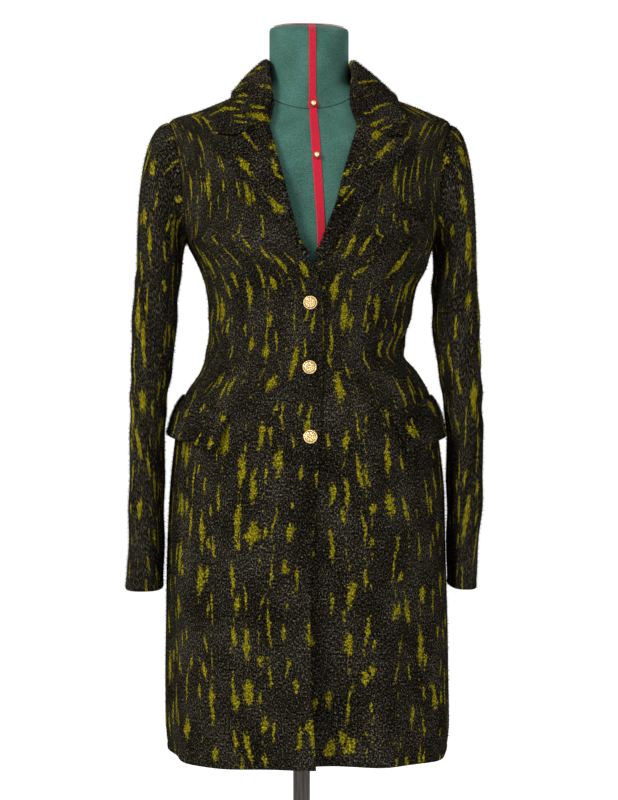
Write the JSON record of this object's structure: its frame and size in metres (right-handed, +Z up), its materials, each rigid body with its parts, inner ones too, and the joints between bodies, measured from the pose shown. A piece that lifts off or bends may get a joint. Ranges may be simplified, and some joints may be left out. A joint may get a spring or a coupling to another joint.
{
  "type": "wool coat on a dress form",
  "caption": "Fitted single-breasted wool coat with notched lapels and hip flaps, worn by a limbless dress form on a pole with a round foot.",
  "frame": {"origin": "middle of the foot's flat underside, on the pole's axis", "axes": "+Z up along the pole, -Y towards the front of the coat, +X towards the wearer's left"},
  "size_m": [0.476, 0.38, 1.5096],
  "materials": {
    "wool": "brushed dark wool with broken yellow streaks",
    "gilt_metal": "polished gilt",
    "form_cloth": "smooth green cotton",
    "red_tape": "woven red tape",
    "dark_wood": "dark stain"
  },
  "bodies": {
    "root": {"front_right": "wool", "front_left": "wool", "back_right": "wool", "back_left": "wool", "lapel_right": "wool", "lapel_left": "wool", "collar": "wool", "sleeve_top_right": "wool", "sleeve_under_right": "wool", "sleeve_top_left": "wool", "sleeve_under_left": "wool", "flap_right": "wool", "flap_left": "wool", "welt_breast": "wool", "button_top": "gilt_metal", "button_middle": "gilt_metal", "button_bottom": "gilt_metal", "pin_neck": "gilt_metal", "pin_chest": "gilt_metal", "form_body": "form_cloth", "form_neck": "form_cloth", "tape_front": "red_tape", "tape_neck": "red_tape", "pole": "dark_wood", "foot": "dark_wood"}
  },
  "joints": []
}
